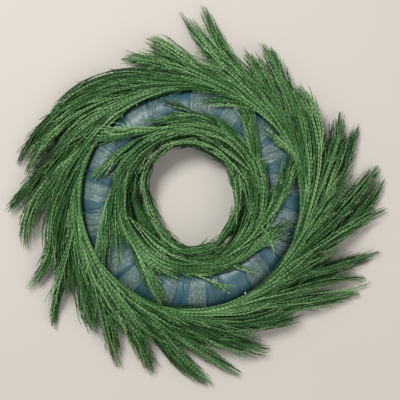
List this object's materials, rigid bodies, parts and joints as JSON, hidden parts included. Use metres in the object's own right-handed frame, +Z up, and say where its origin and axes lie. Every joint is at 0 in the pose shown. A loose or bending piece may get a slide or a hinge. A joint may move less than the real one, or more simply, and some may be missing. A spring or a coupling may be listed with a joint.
{
  "type": "fresh evergreen wreath",
  "caption": "Half-covered evergreen wreath lying flat: fine-stranded green sprigs pinned round both sides of a straw ring wrapped in dark teal film.",
  "frame": {"origin": "middle of the ring, on the surface that the wreath lies on", "axes": "+Z up along the ring's axis; +X and +Y lie in the surface"},
  "size_m": [0.5025, 0.4976, 0.0713],
  "materials": {
    "straw": "matte",
    "twine": "matte",
    "film": "satin",
    "foliage": "satin",
    "pin_steel": "satin"
  },
  "bodies": {
    "root": {"straw_ring": "straw", "binding_twine": "twine", "film_wrap": "film", "sprig_outer_01": "foliage", "sprig_outer_02": "foliage", "sprig_outer_03": "foliage", "sprig_outer_04": "foliage", "sprig_outer_05": "foliage", "sprig_outer_06": "foliage", "sprig_outer_07": "foliage", "sprig_outer_08": "foliage", "sprig_outer_09": "foliage", "sprig_outer_10": "foliage", "sprig_outer_11": "foliage", "sprig_outer_12": "foliage", "sprig_outer_13": "foliage", "sprig_outer_14": "foliage", "sprig_outer_15": "foliage", "sprig_outer_16": "foliage", "sprig_inner_01": "foliage", "sprig_inner_02": "foliage", "sprig_inner_03": "foliage", "sprig_inner_04": "foliage", "sprig_inner_05": "foliage", "sprig_inner_06": "foliage", "sprig_inner_07": "foliage", "sprig_inner_08": "foliage", "pin_outer_01": "pin_steel", "pin_outer_02": "pin_steel", "pin_outer_03": "pin_steel", "pin_outer_04": "pin_steel", "pin_outer_05": "pin_steel", "pin_outer_06": "pin_steel", "pin_outer_07": "pin_steel", "pin_outer_08": "pin_steel", "pin_outer_09": "pin_steel", "pin_outer_10": "pin_steel", "pin_outer_11": "pin_steel", "pin_outer_12": "pin_steel", "pin_outer_13": "pin_steel", "pin_outer_14": "pin_steel", "pin_outer_15": "pin_steel", "pin_outer_16": "pin_steel", "pin_inner_01": "pin_steel", "pin_inner_02": "pin_steel", "pin_inner_03": "pin_steel", "pin_inner_04": "pin_steel", "pin_inner_05": "pin_steel", "pin_inner_06": "pin_steel", "pin_inner_07": "pin_steel", "pin_inner_08": "pin_steel"}
  },
  "joints": []
}
